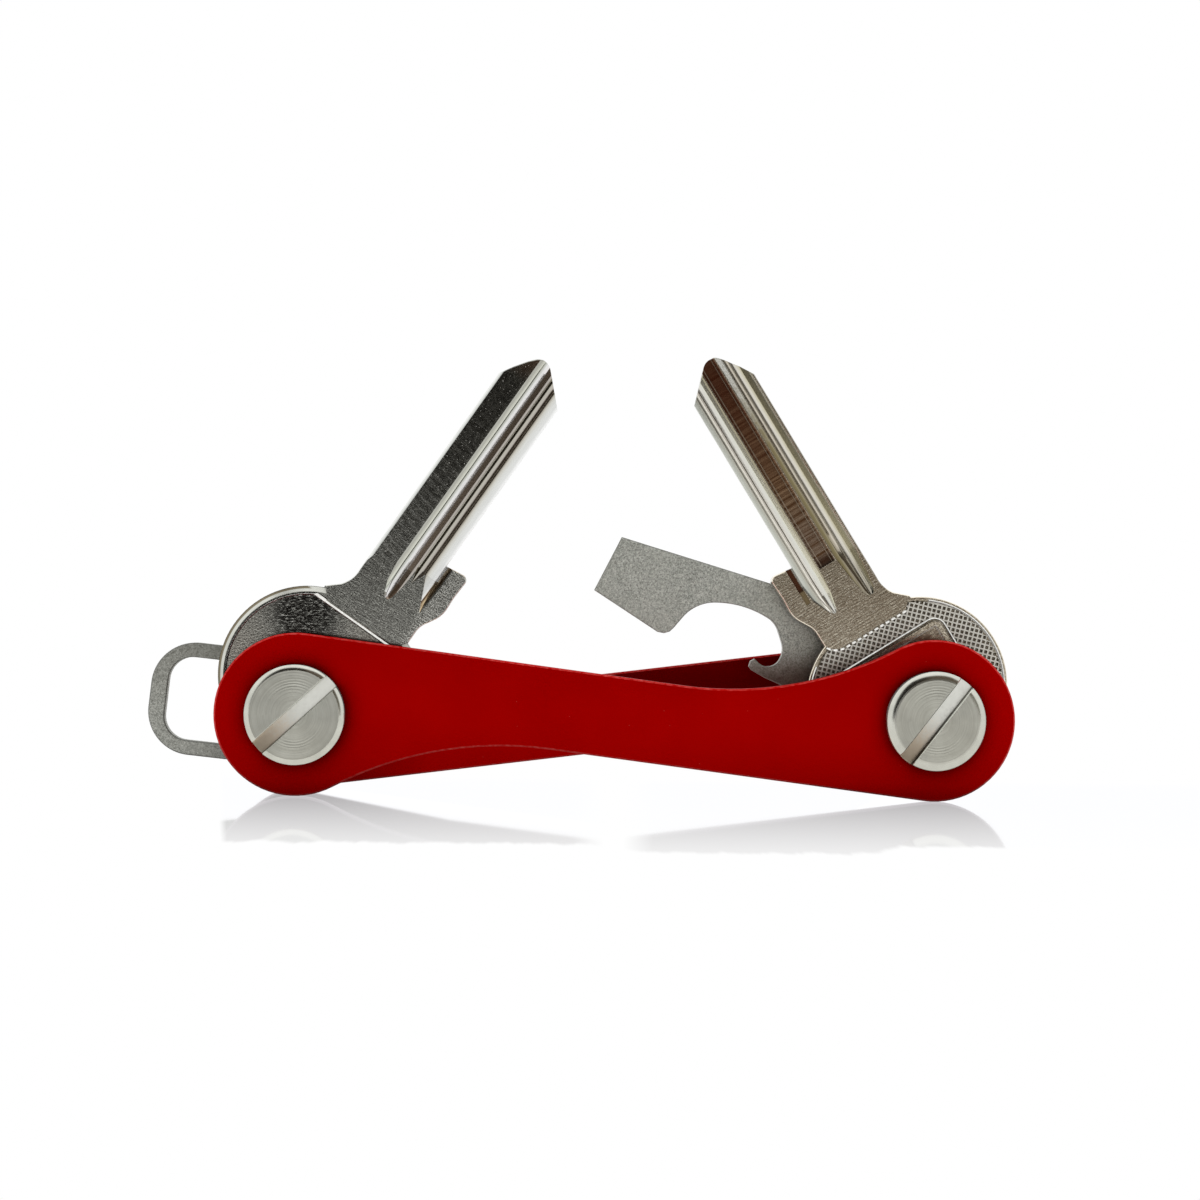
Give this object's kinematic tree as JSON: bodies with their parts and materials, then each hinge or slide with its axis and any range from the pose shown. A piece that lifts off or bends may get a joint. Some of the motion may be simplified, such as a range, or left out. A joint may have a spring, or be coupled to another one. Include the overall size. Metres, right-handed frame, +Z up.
{
  "type": "key organiser",
  "caption": "Folding pocket key organiser: curved red plates on slotted screw posts, holding swing-out keys, a bottle opener and a key ring loop.",
  "frame": {"origin": "on the standing plane, under the middle of the bounding box at rest", "axes": "+X along the body to the right seen from the front, +Y to the back along the post axes, +Z up"},
  "size_m": [0.107, 0.0184, 0.0546],
  "materials": {
    "red_anodised": "satin anodised, red",
    "turned_steel": "turned face, concentric tool marks",
    "key_nickel": "nickel plated brass, brushed neck, bright milled grooves",
    "blasted_steel": "bead blasted, matt",
    "washer_nylon": "smooth",
    "spacer_aluminium": "turned"
  },
  "bodies": {
    "holder": {"front_plate": "red_anodised", "back_plate": "red_anodised", "left_post_barrel": "turned_steel", "right_post_barrel": "turned_steel", "left_friction_washer_1": "washer_nylon", "left_friction_washer_2": "washer_nylon", "left_friction_washer_3": "washer_nylon", "left_friction_washer_4": "washer_nylon", "left_friction_washer_5": "washer_nylon", "left_spacer_1": "spacer_aluminium", "left_spacer_2": "spacer_aluminium", "left_spacer_3": "spacer_aluminium", "right_friction_washer_1": "washer_nylon", "right_friction_washer_2": "washer_nylon", "right_friction_washer_3": "washer_nylon", "right_friction_washer_4": "washer_nylon", "right_friction_washer_5": "washer_nylon", "right_spacer_1": "spacer_aluminium", "right_spacer_2": "spacer_aluminium", "right_spacer_3": "spacer_aluminium"},
    "left_key": {"left_key": "key_nickel"},
    "right_key": {"right_key": "key_nickel"},
    "bottle_opener": {"bottle_opener": "blasted_steel"},
    "key_loop": {"key_loop": "blasted_steel"},
    "left_screw": {"left_screw": "turned_steel"},
    "right_screw": {"right_screw": "turned_steel"}
  },
  "joints": [
    {"name": "left_key_swing", "type": "hinge", "parent": "holder", "child": "left_key", "pos_m": [-0.03441, 0, 0.0099], "axis": [0, 1, 0], "range_deg": [-124, 55]},
    {"name": "right_key_swing", "type": "hinge", "parent": "holder", "child": "right_key", "pos_m": [0.04359, 0, 0.0099], "axis": [0, 1, 0], "range_deg": [-58, 122]},
    {"name": "bottle_opener_swing", "type": "hinge", "parent": "holder", "child": "bottle_opener", "pos_m": [0.04359, 0, 0.0099], "axis": [0, 1, 0], "range_deg": [-16, 164]},
    {"name": "key_loop_swing", "type": "hinge", "parent": "holder", "child": "key_loop", "pos_m": [-0.03441, 0, 0.0099], "axis": [0, 1, 0], "range_deg": [-10, 174]},
    {"name": "left_screw_turn", "type": "hinge", "parent": "holder", "child": "left_screw", "pos_m": [-0.03441, 0, 0.0099], "axis": [0, 1, 0], "continuous": true},
    {"name": "right_screw_turn", "type": "hinge", "parent": "holder", "child": "right_screw", "pos_m": [0.04359, 0, 0.0099], "axis": [0, 1, 0], "continuous": true}
  ]
}
